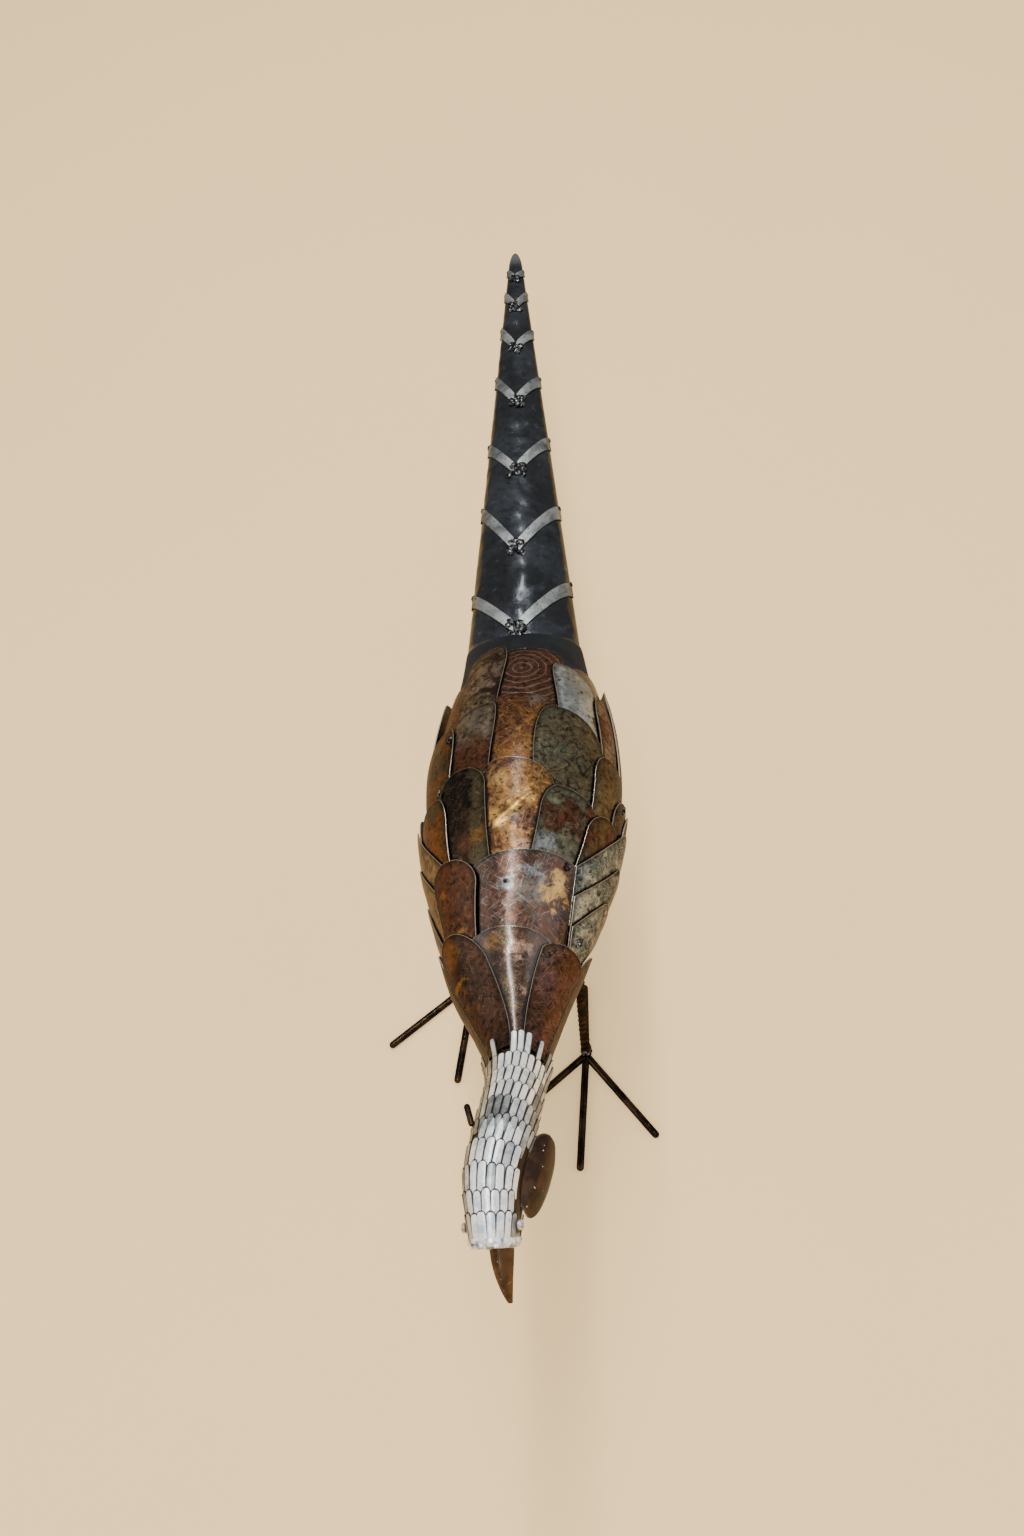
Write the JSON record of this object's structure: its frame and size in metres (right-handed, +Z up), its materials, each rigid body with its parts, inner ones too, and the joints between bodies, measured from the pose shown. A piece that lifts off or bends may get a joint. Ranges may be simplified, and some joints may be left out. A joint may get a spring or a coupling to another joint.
{
  "type": "sheet metal pheasant sculpture",
  "caption": "Standing pheasant statue welded from overlapping patinated metal plates on round bar legs, with a banded trough tail and small bright neck feathers.",
  "frame": {"origin": "on the ground, under the middle of the whole bounding box", "axes": "+Z up, the bird looks towards -Y, its tail runs towards +Y, +X is on its left hand side"},
  "size_m": [0.237, 1.0318, 0.3918],
  "materials": {
    "copper_brown_patina": "heat-browned sheet, scratched, part satin part burnt",
    "gold_brown_patina": "golden brown patina on sheet, scribed and worn bright at the edges",
    "brass_patina": "mottled gold patina on sheet, hammered and scratched",
    "olive_patina": "dark olive patina on sheet with scribed curls",
    "grey_brown_patina": "grey brown patina on sheet, mottled",
    "blue_steel": "blue grey steel sheet, scratched satin",
    "pale_steel": "light grey steel sheet with dark specks",
    "blued_tail": "hammered blue black steel, glossy",
    "band_steel": "light steel strip, satin",
    "black_bar": "dark hot rolled round bar with a welded joint",
    "ribbed_bar": "dark ribbed bar",
    "feather_steel": "bright polished steel with dark seams",
    "beak_bronze": "brown burnished steel",
    "cheek_bronze": "brown burnished steel with bright specks",
    "eye_steel": "pale satin steel"
  },
  "bodies": {
    "root": {"nape_middle": "copper_brown_patina", "nape_right": "copper_brown_patina", "mantle_left": "copper_brown_patina", "mantle_middle": "copper_brown_patina", "back_far_right": "copper_brown_patina", "covert_far_left": "copper_brown_patina", "covert_middle": "copper_brown_patina", "covert_far_right": "copper_brown_patina", "breast_left": "copper_brown_patina", "breast_right": "copper_brown_patina", "belly_middle": "copper_brown_patina", "vent_left": "copper_brown_patina", "vent_right": "copper_brown_patina", "nape_left": "gold_brown_patina", "back_far_left": "gold_brown_patina", "rump_far_left": "gold_brown_patina", "rump_middle": "gold_brown_patina", "back_middle": "brass_patina", "back_left": "olive_patina", "back_side_right": "olive_patina", "rump_side_left": "olive_patina", "rump_right": "olive_patina", "rump_far_right": "olive_patina", "covert_under_right": "olive_patina", "back_right": "grey_brown_patina", "rump_left": "grey_brown_patina", "covert_left": "grey_brown_patina", "breast_middle": "grey_brown_patina", "belly_left": "grey_brown_patina", "belly_right": "grey_brown_patina", "vent_middle": "grey_brown_patina", "wing_right_1": "blue_steel", "wing_right_2": "blue_steel", "wing_right_3": "blue_steel", "wing_left_1": "pale_steel", "wing_left_2": "pale_steel", "wing_left_3": "pale_steel", "covert_right": "pale_steel", "tail_trough": "blued_tail", "tail_band_1": "band_steel", "tail_band_2": "band_steel", "tail_band_3": "band_steel", "tail_band_4": "band_steel", "tail_band_5": "band_steel", "tail_band_6": "band_steel", "tail_band_7": "band_steel", "right_foot": "black_bar", "left_foot": "black_bar", "ear_tuft": "black_bar", "right_leg": "ribbed_bar", "left_leg": "ribbed_bar", "neck_feathers": "feather_steel", "head_feathers": "feather_steel", "beak": "beak_bronze", "cheek_right": "cheek_bronze", "cheek_left": "cheek_bronze", "eye_right": "eye_steel", "eye_left": "eye_steel"}
  },
  "joints": []
}
